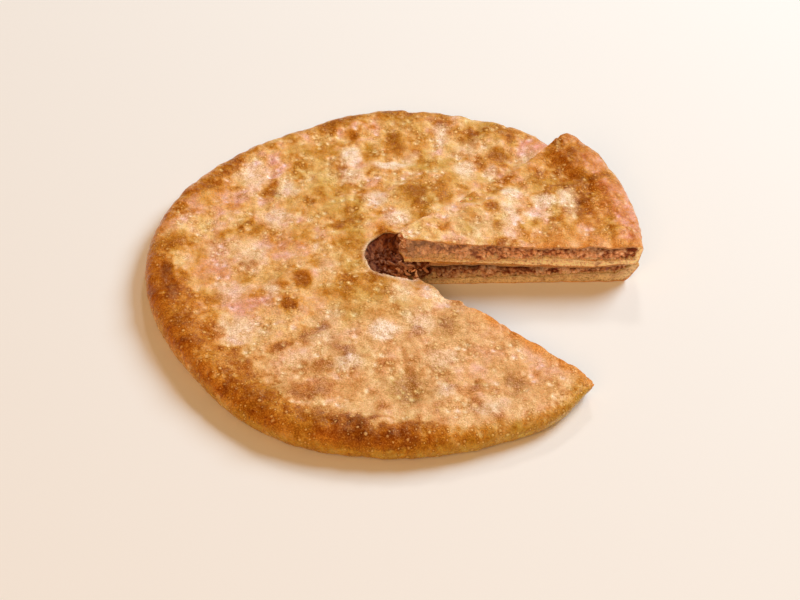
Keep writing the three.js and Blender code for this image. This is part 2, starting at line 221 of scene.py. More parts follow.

# Rosy patches: painted rosy sheen of the light
PIE_ROSY_SHEENS = [
    (92, 116, 12, 9, 0.8, 40), (120, 96, 10, 10, 0.7, 40), (-120, 60, 14, 14, 0.4),
    (-85, 95, 14, 10, 0.4, 40), (-20, 140, 14, 8, 0.25), (-118, -8, 14, 12, 0.45), (-95, -40, 12, 12, 0.4),
    (-53, -108, 7, 6, 0.4), (-80, 12, 8, 12, 0.5), (44, -37, 12, 7, 0.5, -40), (66, -50, 12, 5, 0.4, -40),
    (106, -94, 8, 8, 0.5), (86, -96, 14, 12, 0.4), (55, -92, 14, 12, 0.35),
]
SLICE_ROSY_SHEENS = [
    (154, 8, 12, 12, 1.0, 5), (149, 30, 11, 18, 1.0, 12), (143, 54, 11, 18, 1.0, 21),
    (131, 78, 10, 14, 0.9, 30), (122, 100, 8, 10, 0.6, 40), (98, 94, 8, 8, 0.4, 40), (134, 6, 14, 5, 0.5),
    (76, 16, 6, 14, 0.5), (136, 38, 8, 14, 0.5, 15), (126, 18, 9, 9, 0.5),
]

# The rim's browning at an angle in degrees, and how far in from the edge it reaches
PIE_RIM = [
    (0, 0.55, 14), (40, 0.55, 12), (60, 0.50, 11), (75, 0.45, 9), (90, 0.56, 13), (105, 0.50, 13),
    (112, 0.58, 15), (122, 0.38, 9), (138, 0.60, 18), (150, 0.56, 16), (162, 0.50, 14), (172, 0.60, 17),
    (182, 0.66, 18), (192, 0.68, 21), (205, 0.72, 30), (222, 0.67, 31), (234, 0.65, 31), (244, 0.62, 24),
    (250, 0.64, 23), (256, 0.80, 24), (262, 0.90, 21), (272, 0.78, 20), (280, 0.62, 15), (286, 0.42, 9),
    (293, 0.36, 7), (308, 0.40, 5), (316, 0.50, 12), (360, 0.55, 14),
]
SLICE_RIM = [
    (0, 0.52, 20), (8, 0.58, 32), (15, 0.62, 38), (30, 0.64, 39), (40, 0.66, 36), (50, 0.66, 30),
    (360, 0.52, 20),
]


def linear(red, green, blue):
    """Linear light of a display colour of 0 to 255."""
    shown = np.array([red, green, blue]) / 255.0
    return np.where(shown <= 0.04045, shown / 12.92, ((shown + 0.055) / 1.055) ** 2.4)


CRUST_RAMP = [
    (0.00, linear(252, 220, 180)), (0.20, linear(243, 198, 140)), (0.36, linear(230, 173, 104)),
    (0.50, linear(213, 140, 51)), (0.66, linear(188, 104, 13)), (0.82, linear(151, 68, 4)),
    (1.00, linear(100, 38, 2)),
]
DARKEST = 0.84
SPOT_BROWNING = 0.72
YELLOW_TINT = (0.73, 0.79, 0.37)
PINK_TINT = (1.0, 0.85, 1.95)
# Colour of pale dough, also used for painted sheen
PALE_AND_SHEEN_COLOR = linear(252, 231, 214)
# Painted highlight on the beads, and the darker ring round them, partly browning and partly painted shadow
BEAD_HIGHLIGHT = (0.7, 0.42, 0.16)
BEAD_RING_SHADE = (0.8, 0.7, 0.55)
GOLDEN_GLINT = (0.3, 0.15, 0.04)
SKIN_GRAIN = ((0.66, 0.55, 0.35), (1.3, 1.42, 1.65))
BROWN_GRAIN = ((0.76, 0.66, 0.44), (1.1, 1.22, 1.5))
BEAD_SIZES = (2.6, 4.2)
BEAD_HEIGHT = 0.1
GLOSS_TINT = (1.0, 0.64, 0.22)
CRUST_EDGE = linear(206, 126, 48)
EDGE_ORANGE = linear(222, 141, 60)
DOUGH_COLOR = linear(248, 220, 168)
DOUGH_PORE = linear(150, 98, 46)
MEAT_DARK = linear(112, 50, 20)
MEAT_COLOR = linear(214, 160, 116)
MEAT_PALE = linear(242, 208, 176)
MEAT_GRAIN = linear(165, 125, 100)
ONION_COLOR = linear(158, 92, 96)
MEAT_RAMP = [(0.0, MEAT_DARK), (0.5, MEAT_COLOR), (1.0, MEAT_PALE)]


# Noise and small helpers

def smoothstep(value, low, high):
    t = np.clip((value - low) / (high - low), 0, 1)
    return t * t * (3 - 2 * t)


def gauss(distance, width):
    return np.exp(-((distance / width) ** 2))


def toward(first, second, share):
    return first + (second - first) * share


def mix(first, second, share):
    """Colours mixed by a share at each point."""
    return toward(first, second, np.asarray(share)[..., None])


def join(*parts):
    return np.concatenate(parts)


def lengths(vectors):
    return np.hypot(*vectors.T)


def angles_of(vectors):
    return np.arctan2(vectors[:, 1], vectors[:, 0])


def compass_of(angle):
    """The direction of an angle on the plan, or of many."""
    return np.stack([np.cos(angle), np.sin(angle)], -1)


def noise(points, size, seed):
    """Smooth seeded noise of -1 to 1 at points of two or three coordinates."""
    rng = np.random.default_rng(seed)
    order = rng.permutation(256)
    slopes = rng.normal(size=(256, 3))
    slopes /= np.linalg.norm(slopes, axis=1)[:, None]
    place = np.zeros((len(points), 3))
    place[:, : points.shape[1]] = points / size
    cell = np.floor(place).astype(int)
    inside = place - cell
    fade = inside ** 3 * (inside * (inside * 6 - 15) + 10)
    total = np.zeros(len(points))
    depth = 2 if points.shape[1] == 3 else 1
    for corner in np.ndindex(2, 2, depth):
        at = cell + corner
        key = order[(order[(order[at[:, 0] & 255] + at[:, 1]) & 255] + at[:, 2]) & 255]
        weight = np.where(corner, fade, 1 - fade).prod(1)
        total += weight * ((inside - corner) * slopes[key]).sum(1)
    return np.clip(total * 1.5, -1, 1)


def fractal(points, size, octaves, seed):
    """Noise with finer and weaker noise on top of it."""
    total = np.zeros(len(points))
    for octave in range(octaves):
        total += noise(points, size / 2 ** octave, seed + octave) * 0.5 ** octave
    return total


# Kinds of grains: their spacing, least and greatest radius, and how many cells have one
BLISTERS = (5.6, 1.2, 2.7, 0.5)
ONIONS = (9.0, 1.0, 2.4, 0.25)
CUT_LUMPS = (3.0, 1.0, 2.2, 0.9)
CUT_PITS = (2.6, 0.4, 1.2, 0.5)
TOP_CRUMBS = (3.4, 1.4, 2.4, 0.95)
VENT_CRUMBS = (3.6, 1.5, 2.6, 0.95)


def grains(points, spacing, low, high, share, seed):
    """Seeded round grains, one at most to a cell: height 0 to 1 at each point, and a draw for the grain."""
    rng = np.random.default_rng(seed)
    draws = rng.random((128, 128, 5))
    cell = np.floor(points / spacing).astype(int)
    height = np.zeros(len(points))
    mark = np.zeros(len(points))
    for step in np.ndindex(3, 3):
        at = cell + step - 1
        drawn = draws[at[:, 0] % 128, at[:, 1] % 128]
        centre = (at + 0.2 + 0.6 * drawn[:, :2]) * spacing
        radius = low + (high - low) * drawn[:, 2]
        near = np.clip(1 - ((points - centre) ** 2).sum(1) / radius ** 2, 0, 1) * (drawn[:, 3] < share)
        taller = near > height
        height = np.where(taller, near, height)
        mark = np.where(taller, drawn[:, 4], mark)
    return height, mark


def spot_field(plan, spots, drift, uneven):
    """Oval spots, softer and more uneven the weaker they are: the strongest spot at each point."""
    total = np.zeros(len(plan))
    for x, y, length, width, strength, *angle in spots:
        turn = math.radians(angle[0]) if angle else 0.0
        dx, dy = (plan + (1.2 - strength) * drift - (x, y)).T
        along = (dx * math.cos(turn) + dy * math.sin(turn)) / length
        across = (dy * math.cos(turn) - dx * math.sin(turn)) / width
        edge = np.hypot(along, across) + (1.4 - strength) * uneven
        total = np.maximum(total, strength * (1 - smoothstep(edge, 0.6 * strength - 0.1, 2.3 - strength)))
    return total


def mound_field(plan, mounds):
    return sum(height * gauss(lengths(plan - (x, y)), width) for x, y, height, width in mounds)


def fold_field(plan, folds):
    """How deep the folds lie at each point."""
    total = np.zeros(len(plan))
    for x0, y0, x1, y1, depth, width in folds:
        start, run = np.array([x0, y0]), np.array([x1 - x0, y1 - y0])
        share = np.clip((plan - start) @ run / (run @ run), 0, 1)
        total = total + depth * gauss(lengths(plan - start - share[:, None] * run), width)
    return total


def from_cut(plan, apex, angle):
    """Distance to the line that runs from an apex at an angle."""
    seen = plan - apex
    along = seen @ compass_of(angle)
    across = seen @ np.array([-math.sin(angle), math.cos(angle)])
    return np.where(along > 0, np.abs(across), lengths(seen))


def from_cuts(plan, apex, first, second):
    return np.minimum(from_cut(plan, apex, first), from_cut(plan, apex, second))


def from_vent(plan):
    return lengths(plan - VENT_CENTRE) - VENT_RADIUS


# Heights of the pie and of the slice

def pushed_outline(angles, radius, pushes):
    degrees = np.degrees(angles)
    return radius + sum(push * gauss((degrees - at + 180) % 360 - 180, width) for at, width, push in pushes)


def under_slice(plan):
    """1 where the slice lies on the pie, fading to 0 around it."""
    seen = plan - SLICE_APEX
    angle, reach = angles_of(seen), lengths(seen)
    inside = np.minimum((angle - SLICE_NEAR) * reach, (SLICE_FAR - angle) * reach)
    return smoothstep(inside, -3, 2)


def calm_under_slice(plan):
    return 1 - 0.9 * under_slice(plan)


def no_calm(plan):
    return np.ones(len(plan))


def vigour(plan):
    """The far and right parts are the most blistered."""
    return 0.85 + 0.45 * smoothstep(plan[:, 1] + 0.4 * plan[:, 0], -60, 60)


def near_part(plan):
    return smoothstep(-plan[:, 1] + 0.4 * plan[:, 0], 20, 70)


def bumps(plan, seed):
    return noise(plan, 12, seed + 5) + 0.5 * noise(plan, 6.5, seed + 6)


def lumps(plan, seed):
    """The pressing of the filling against the thin crust."""
    broad = 1.3 * noise(plan, 40, seed) + 1.0 * noise(plan, 20, seed + 4)
    return vigour(plan) * (broad + 1.15 * bumps(plan, seed))


def pie_base(plan):
    radius = lengths(plan)
    at, height, width = RIM_LIFT
    sagged = toward(CENTRE_HEIGHT, SAG_HEIGHT, smoothstep(radius, SAG_START, SAG_END))
    return sagged + height * gauss(radius - at, width) + mound_field(plan, DENTS)


def pressed_base(plan):
    return pie_base(plan) - fold_field(plan, PRESSED)


def pie_top(plan):
    swell = lumps(plan, TOP_LUMPS) + mound_field(plan, PIE_MOUNDS) - fold_field(plan, PIE_FOLDS)
    return pressed_base(plan) + swell * calm_under_slice(plan) + VENT_LIP * gauss(from_vent(plan), 3.0)


# Inside, away from the cuts and the vent, the ceiling lies well below the top
CEILING_DROP = 2.5
CUT_FADE = (3, 12)
VENT_FADE = (4, 14)


def top_crust_at(plan, seed):
    return TOP_CRUST * (1 + 0.3 * noise(plan, 8, seed))


def pie_ceiling(plan):
    inside = smoothstep(from_cuts(plan, *PIE_CUTS), *CUT_FADE) * smoothstep(from_vent(plan), *VENT_FADE)
    crust = top_crust_at(plan, 21) + mound_field(plan, TOP_CRUST_SWELLS)
    return pie_top(plan) - crust - CEILING_DROP * inside


def pie_floor(plan):
    wave = 1.4 * fractal(plan, 14, 2, 22) + 1.3 * fractal(plan, 4.5, 2, 26)
    return BOTTOM_CRUST + wave + RIM_DOUGH * smoothstep(lengths(plan), 70, 150)


def pie_under(plan):
    return 0.8 * np.maximum(noise(plan, 4, 27), 0) * gauss(from_cuts(plan, *PIE_CUTS), 2.5)


def slice_top(plan):
    extra, width = SLICE_TIP
    tip = extra * gauss(lengths(plan), width)
    pressing = lumps(plan + SLICE_SHIFT, TOP_LUMPS)
    swell = pressing + mound_field(plan, SLICE_MOUNDS) - fold_field(plan, SLICE_FOLDS)
    return pie_base(plan) + SLICE_THICKNESS + tip + mound_field(plan, SLICE_CURL) + swell


def slice_ceiling(plan):
    inside = smoothstep(from_cuts(plan, *SLICE_CUTS), *CUT_FADE)
    return slice_top(plan) - top_crust_at(plan, 23) - CEILING_DROP * inside


def slice_under(plan):
    return pressed_base(plan) + SLICE_LIFT + 0.4 * np.maximum(noise(plan, 5, 25), 0)


def slice_floor(plan):
    wave = 0.8 * fractal(plan, 13, 2, 24) + 0.7 * fractal(plan, 4, 2, 28)
    wave = wave + mound_field(plan, SLICE_FLOOR_SWELLS)
    return slice_under(plan) + SLICE_BOTTOM_CRUST + wave


def sector_reach(apex, outline_points):
    """A function of the angle at an apex: how far from it an outline lies."""
    seen = outline_points - apex
    angles, far = angles_of(seen), lengths(seen)
    return lambda angle: np.interp(angle, angles, far, period=TURN)


AROUND = np.linspace(0, TURN, OUTLINE_ANGLES, endpoint=False)
COMPASS = compass_of(AROUND)
pie_outline = pushed_outline(AROUND, PIE_RADIUS, OUTLINE_PUSHES)[:, None] * COMPASS
slice_outline = pushed_outline(AROUND, SLICE_RADIUS, SLICE_PUSHES)[:, None] * COMPASS
vent_lobes = fractal(COMPASS * VENT_RADIUS, 9, 2, 5)
vent_outline = VENT_CENTRE + (VENT_RADIUS + 0.9 * vent_lobes)[:, None] * COMPASS

# The pie's plan sits in the frame where the solids' left and far ends are
pie_low, pie_high = (np.array(corner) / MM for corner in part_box("pie_crust"))
FRAME_SHIFT = np.array([pie_low[0] - pie_outline[:, 0].min(), pie_high[1] - pie_outline[:, 1].max(), 0])


# Meshes from rows of points

SHARP_ANGLE = math.radians(55)


class Rows:
    """A surface made of rows of points that run side by side from one cut to the other."""

    def __init__(self):
        self.points = []
        self.count = 0
        self.starts = []
        self.faces = []

    def add(self, row):
        self.starts.append((self.count, len(row)))
        self.points.append(row)
        self.count += len(row)
        return len(self.starts) - 1

    def ends(self, rows, side):
        return np.array([self.starts[r][0] + (self.starts[r][1] - 1) * side for r in rows])

    def stitch(self, first, second, flip=False):
        """Triangles between two rows, whatever their numbers of points."""
        (a, a_count), (b, b_count) = self.starts[first], self.starts[second]
        steps = join(*(np.arange(1, count) / (count - 1) for count in (a_count, b_count)))
        on_first = np.arange(len(steps)) < a_count - 1
        on_first = on_first[np.argsort(steps, kind="stable")]
        i = np.cumsum(on_first) - on_first
        j = np.cumsum(~on_first) - ~on_first
        third = np.where(on_first, a + i + 1, b + j + 1)
        faces = np.stack([a + i, b + j, third], 1)
        self.faces.append(faces[:, ::-1] if flip else faces)

    def sheet(self, rows, flip=False):
        for first, second in zip(rows, rows[1:]):
            self.stitch(first, second, flip)


def grid_faces(grid):
    """Triangles of a grid of point numbers."""
    a, b, c, d = grid[:-1, :-1].ravel(), grid[1:, :-1].ravel(), grid[1:, 1:].ravel(), grid[:-1, 1:].ravel()
    return join(np.stack([a, b, c], 1), np.stack([a, c, d], 1))


def point_normals(points, faces):
    corner = points[faces]
    face_normals = np.cross(corner[:, 1] - corner[:, 0], corner[:, 2] - corner[:, 0])
    normals = np.zeros_like(points)
    for k in range(3):
        np.add.at(normals, faces[:, k], face_normals)
    return normals / np.maximum(np.linalg.norm(normals, axis=1), 1e-9)[:, None]


def add_object(name, data):
    added = bpy.data.objects.new(name, data)
    bpy.context.scene.collection.objects.link(added)
    return added


def make_object(name, points, faces, looks, materials, face_material=None):
    """A mesh with its looks, which are named values of four numbers at each point."""
    mesh = bpy.data.meshes.new(name)
    mesh.vertices.add(len(points))
    mesh.vertices.foreach_set("co", ((points + FRAME_SHIFT) * MM).astype(np.float32).ravel())
    mesh.loops.add(3 * len(faces))
    mesh.loops.foreach_set("vertex_index", faces.astype(np.int32).ravel())
    mesh.polygons.add(len(faces))
    mesh.polygons.foreach_set("loop_start", np.arange(0, 3 * len(faces), 3, dtype=np.int32))
    mesh.polygons.foreach_set("use_smooth", np.ones(len(faces), dtype=bool))
    for material in materials:
        mesh.materials.append(material)
    if face_material is not None:
        mesh.polygons.foreach_set("material_index", face_material.astype(np.int32))
    for look, values in looks.items():
        layer = mesh.color_attributes.new(look, "FLOAT_COLOR", "POINT")
        layer.data.foreach_set("color", values.astype(np.float32).ravel())
    mesh.update(calc_edges=True)
    mesh.validate()
    mesh.set_sharp_from_angle(angle=SHARP_ANGLE)
    return add_object(name, mesh)


def opaque(colors):
    return np.c_[colors, np.ones(len(colors))]


# Materials

class Graph:
    """A material's node tree, with short ways to add and join nodes."""

    def __init__(self, name):
        self.material = bpy.data.materials.new(name)
        self.material.use_nodes = True
        self.tree = self.material.node_tree
        self.place = self.add("ShaderNodeTexCoord", {})["Object"]

    def fill(self, node, inputs):
        """Sets inputs of a node to values, or joins them to other nodes' outputs."""
        for key, value in inputs.items():
            if isinstance(value, bpy.types.NodeSocket):
                self.tree.links.new(value, node.inputs[key])
            elif value is not None:
                node.inputs[key].default_value = value

    def add(self, kind, inputs, **settings):
        """The outputs of a new node."""
        node = self.tree.nodes.new(kind)
        for key, value in settings.items():
            setattr(node, key, value)
        self.fill(node, inputs)
        return node.outputs

    def shade(self, **inputs):
        """Inputs of the shader, with _ for the spaces in their names."""
        shader = self.tree.nodes["Principled BSDF"]
        self.fill(shader, {key.replace("_", " "): value for key, value in inputs.items()})

    def noise(self, size, detail=3.0, roughness=0.6):
        inputs = {"Vector": self.place, "Scale": 1 / (size * MM), "Detail": detail, "Roughness": roughness}
        return self.add("ShaderNodeTexNoise", inputs)["Fac"]

    def cells(self, size):
        """Distance to the middle of the nearest cell, and a draw for that cell."""
        cell = self.add("ShaderNodeTexVoronoi", {"Vector": self.place, "Scale": 1 / (size * MM)})
        return cell["Distance"], self.split(cell["Color"])[0]

    def ramp(self, value, low, high, to_low=0.0, to_high=1.0):
        inputs = dict(enumerate((value, low, high, to_low, to_high)))
        return self.add("ShaderNodeMapRange", inputs, interpolation_type="SMOOTHSTEP")["Result"]

    def math(self, operation, first, second):
        return self.add("ShaderNodeMath", {0: first, 1: second}, operation=operation)[0]

    def times(self, first, second):
        return self.math("MULTIPLY", first, second)

    def blend(self, kind, share, first, second):
        """Two colours blended, each an output or three numbers."""
        colors = [c if isinstance(c, bpy.types.NodeSocket) else rgba(c) for c in (first, second)]
        inputs = {0: share, 6: colors[0], 7: colors[1]}
        return self.add("ShaderNodeMix", inputs, data_type="RGBA", blend_type=kind)[2]

    def look(self, name):
        return self.add("ShaderNodeVertexColor", {}, layer_name=name)

    def split(self, color):
        return self.add("ShaderNodeSeparateColor", {"Color": color})

    def colors(self, value, stops):
        node = self.tree.nodes.new("ShaderNodeValToRGB")
        self.fill(node, {"Fac": value})
        elements = node.color_ramp.elements
        while len(elements) < len(stops):
            elements.new(0.5)
        for element, (place, color) in zip(elements, stops):
            element.position = place
            element.color = rgba(color)
        return node.outputs["Color"]

    def bump(self, height, depth, strength, under=None):
        inputs = {"Height": height, "Distance": depth * MM, "Strength": strength, "Normal": under}
        return self.add("ShaderNodeBump", inputs)["Normal"]


def rgba(color):
    return (*map(float, color), 1.0)


WHITE = (1.0, 1.0, 1.0)


def crust_material():
    """Baked skin, orange at the cuts. Its look: browning, hue from pink to yellow, paleness with painted
    sheen, and pimples.
    """
    g = Graph("baked_crust")
    look, pimples = g.look("skin")
    browning, hue, pale_and_sheen = g.split(look)
    grain, patch = g.noise(0.9, 4.0, 0.75), g.noise(3.6, 3.0, 0.6)
    uneven = g.math("ADD", *(g.ramp(fleck, 0.25, 0.75, -0.08, 0.08) for fleck in (grain, patch)))
    color = g.colors(g.math("ADD", browning, uneven), CRUST_RAMP)
    color = g.blend("MULTIPLY", g.math("MAXIMUM", hue, 0.0), color, YELLOW_TINT)
    color = g.blend("MULTIPLY", g.math("MAXIMUM", g.times(hue, -1.0), 0.0), color, PINK_TINT)
    # Pale dough and painted sheen
    color = g.blend("MIX", g.times(pale_and_sheen, g.ramp(grain, 0.3, 0.7, 0.6, 1.0)), color, PALE_AND_SHEEN_COLOR)
    orange, edge = g.look("flesh")
    color = g.blend("MIX", edge, color, orange)
    color = g.blend("MULTIPLY", 1.0, color, g.blend("MIX", g.ramp(grain, 0.3, 0.7), *SKIN_GRAIN))
    brown = g.ramp(browning, 0.36, 0.62)
    color = g.blend("MULTIPLY", brown, color, g.blend("MIX", g.ramp(grain, 0.35, 0.65), *BROWN_GRAIN))
    color = g.blend("SCREEN", g.times(brown, g.ramp(grain, 0.5, 0.66)), color, GOLDEN_GLINT)
    relief = 0.0
    # Each bead gets a painted highlight and a darker ring, partly browning and partly painted shadow
    for size in BEAD_SIZES:
        near, draw = g.cells(size)
        near = g.times(near, g.ramp(draw, 0.3, 1.0, 1.7, 0.8))
        drawn = g.times(g.ramp(draw, 0.3, 0.5), pimples)
        beads = g.times(g.ramp(near, 0.1, 0.26, 1.0, 0.0), drawn)
        shaded_ring = g.times(g.ramp(near, 0.18, 0.3), g.ramp(near, 0.34, 0.6, 1.0, 0.0))
        color = g.blend("MULTIPLY", g.times(shaded_ring, drawn), color, BEAD_RING_SHADE)
        bead_highlight = g.times(beads, g.ramp(browning, 0.3, 0.7, 1.0, 0.85))
        color = g.blend("MIX", bead_highlight, color, g.blend("SCREEN", 1.0, color, BEAD_HIGHLIGHT))
        relief = g.math("MAXIMUM", relief, g.times(beads, size * BEAD_HEIGHT))
    skin = g.bump(patch, 0.8, 0.9, g.bump(grain, 0.2, 0.8))
    g.shade(Base_Color=color, Normal=g.bump(relief, 1.0, 0.8, skin))
    g.shade(Roughness=g.ramp(g.noise(9.0), 0.3, 0.7, 0.17, 0.38))
    g.shade(Subsurface_Weight=0.1, Subsurface_Radius=(0.004, 0.0018, 0.0006), Subsurface_Scale=1.0)
    g.shade(Specular_IOR_Level=0.33, Specular_Tint=rgba(GLOSS_TINT))
    return g.material


def dough_material():
    g = Graph("cut_dough")
    crumb = g.noise(1.1, 5.0, 0.7)
    pores = g.ramp(g.cells(1.4)[0], 0.1, 0.45)
    shade = g.blend("MIX", g.times(pores, g.ramp(crumb, 0.25, 0.6)), DOUGH_PORE, WHITE)
    g.shade(Base_Color=g.blend("MULTIPLY", 0.5, g.look("flesh")[0], shade), Roughness=0.7)
    g.shade(Normal=g.bump(pores, 0.5, 0.9, g.bump(crumb, 0.5, 0.9)))
    g.shade(Subsurface_Weight=0.1, Subsurface_Radius=(0.003, 0.0016, 0.0006), Subsurface_Scale=1.0)
    return g.material


def meat_material():
    g = Graph("minced_meat")
    grain = g.noise(1.0, 5.0, 0.7)
    pores = g.ramp(g.cells(1.6)[0], 0.08, 0.42)
    tint = g.blend("MIX", g.ramp(grain, 0.3, 0.7), MEAT_GRAIN, WHITE)
    color = g.blend("MULTIPLY", 0.6, g.look("flesh")[0], tint)
    color = g.blend("MULTIPLY", 0.35, color, g.blend("MIX", pores, MEAT_DARK, WHITE))
    g.shade(Base_Color=color, Roughness=g.ramp(grain, 0.3, 0.7, 0.42, 0.65), Specular_IOR_Level=0.1)
    g.shade(Normal=g.bump(pores, 0.5, 0.9, g.bump(grain, 0.5, 0.9)))
    g.shade(Subsurface_Weight=0.08, Subsurface_Radius=(0.003, 0.001, 0.0006), Subsurface_Scale=1.0)
    return g.material


CRUST = crust_material()
DOUGH = dough_material()
MEAT = meat_material()


# Look and fine relief of the baked skin

def ramp_color(value, stops):
    places = [stop for stop, _ in stops]
    return np.stack([np.interp(value, places, [color[k] for _, color in stops]) for k in range(3)], 1)


def rim_at(plan, rim):
    """The rim's browning and its reach, at the angles of points."""
    degrees = np.degrees(angles_of(plan)) % 360
    angles, browning, reach = zip(*rim)
    return np.interp(degrees, angles, browning), np.interp(degrees, angles, reach)


def skin_look(plan, inset, part):
    """Look, and height above the lumpy crust, of the baked skin. The plan is unrolled over the rim."""
    seed = SKIN_PATTERN
    field = plan + part.pattern_shift
    warp = 3.0 * np.c_[noise(field, 9, seed + 1), noise(field, 9, seed + 2)]
    broad, middle = fractal(field, 60, 2, seed + 5), fractal(field + warp, 21, 3, seed + 10)
    small = fractal(field + warp, 7, 3, seed + 20)
    uneven = 0.6 * small + 0.3 * middle
    patches = (part.spots, part.pales, part.stains, part.roses)
    spotted, pale_and_sheen, stain, rosy_sheen = (spot_field(plan, spots, 2 * warp, uneven) for spots in patches)

    # How browned the skin is: freckled all over, more so in the rim's band, and less down its side, which is
    # partly paler dough and partly painted warm bounce light
    strength, reach = rim_at(plan, part.band)
    reach = reach * (1 + 0.42 * middle + 0.2 * small + 0.15 * broad)
    band = smoothstep(reach - inset, -0.3 * reach, 0.35 * reach)
    side = smoothstep(2 * small - inset, -6, 4)
    lively, near = vigour(plan), near_part(plan)
    hue = lively * (0.5 * noise(field + warp, 11, seed + 61) + 0.35 * noise(field, 5.5, seed + 62))
    hue = hue + 0.4 * noise(field, 26, seed + 60) + 0.08 * near
    freckles = smoothstep(middle + 0.3 * small, 0.05, 0.95)
    browning = 0.28 + 0.05 * near + 0.06 * broad
    browning = browning + lively * (0.1 * middle + 0.07 * small + 0.26 * freckles)
    browning = np.maximum(browning + 0.08 * bumps(field, TOP_LUMPS) + 0.06 * hue, 0)
    browning = toward(browning, strength + 0.2 * middle + 0.14 * small, 0.85 * band)
    browning = toward(browning, SPOT_BROWNING + 0.1 * band, spotted) + 0.05 * stain
    browning = browning * (1 - 0.35 * pale_and_sheen)
    browning = toward(browning, 0.36 + 0.1 * small + 0.1 * middle, 0.85 * side)
    # The rosy patches are painted sheen: paler and pinker
    browning = toward(browning, 0.44 + 0.1 * small, 0.8 * rosy_sheen)

    # The hue, from pink at -1 to yellow at 1, and how pale the skin is
    hue = np.clip(hue, -0.5, 0.8) * (1 - 0.7 * stain) + 0.65 * stain + 0.5 * spotted - 1.1 * rosy_sheen
    # Down the rim's side, most at the front, the yellow hue is partly painted warm bounce light
    left, front = smoothstep(-plan[:, 0], 60, 120), smoothstep(-plan[:, 1], 60, 130)
    hue = hue + (0.25 - 0.35 * left) * band * (1 - rosy_sheen) + (0.3 + 0.5 * front) * side + 0.25 * freckles
    hue = np.clip(hue, -1.0, 1.0)
    hue = np.where(hue < 0, hue * (1 - 0.85 * smoothstep(browning, 0.5, 0.66)), hue)
    # Paler on the near part
    near_paleness = 0.18 * near * (1 - band) * (1 - 0.8 * spotted)
    pale_and_sheen = np.maximum(0.75 * pale_and_sheen * (1 - 0.6 * band) + near_paleness, part.lip(plan))

    # Pimples, and the larger blisters among them, whose caps are paler and less browned, partly as painted
    # highlight
    crowd = smoothstep(noise(field, 15, seed + 45) + 0.25 * lively, 0.0, 0.45)
    pimples = (0.2 + 0.8 * np.maximum(crowd, 0.8 * band)) * (1 - 0.5 * pale_and_sheen) * (1 - 0.6 * rosy_sheen)
    blister, mark = grains(field, *BLISTERS, seed + 40)
    blister = blister * crowd * (0.4 + 0.6 * mark)
    browning = np.clip(browning - 0.4 * blister * (1 - 0.3 * band), 0, DARKEST)
    pale_and_sheen = np.minimum(pale_and_sheen + 0.25 * blister * (1 - band), 1)
    height = 0.35 * noise(field, 4, seed + 70) + 0.6 * spotted + 1.1 * blister
    height = height + 0.7 * smoothstep(-inset, -16, -6) * noise(field, 14, seed + 85)
    return np.c_[browning, hue, pale_and_sheen, pimples], height


def underside_look(plan, seed):
    plain = np.zeros(len(plan))
    return np.c_[0.5 + 0.2 * fractal(plan, 22, 3, seed + 7), plain, plain, plain + 0.2]


# Rows and cuts that the crust and the filling share

def sector_row(part, angles_table, table, spread):
    """A row on the plan from a part's first cut to its second, as far out as a table of angles has it."""
    angles = part.start + (part.end - part.start) * spread
    radius = np.interp(angles, angles_table, table)
    return part.apex + radius[:, None] * compass_of(angles + part.bend(radius, spread))


def close_cuts(body, points, colors, first_rows, second_rows, count, layer_at):
    """Both cuts closed by layers between the ends of two sets of rows: points, their colours and faces."""
    faces = []
    for side in (0, 1):
        first, second = body.ends(first_rows, side), body.ends(second_rows, side)
        layers = [first]
        for share in np.arange(1, count) / count:
            row, color = layer_at(points[first] * (1 - share) + points[second] * share, share, side)
            layers.append(len(points) + np.arange(len(row)))
            points, colors = join(points, row), join(colors, opaque(color))
        grid = grid_faces(np.array([*layers, second]))
        faces.append(grid if side else grid[:, ::-1])
    return points, colors, join(*faces)


# The crust: an outer skin and an inner face of matching rows, closed at the cuts

LEAST_ROUND = 1.5
INNER_SHADE = 0.7
CUT_BROWNING = 0.75


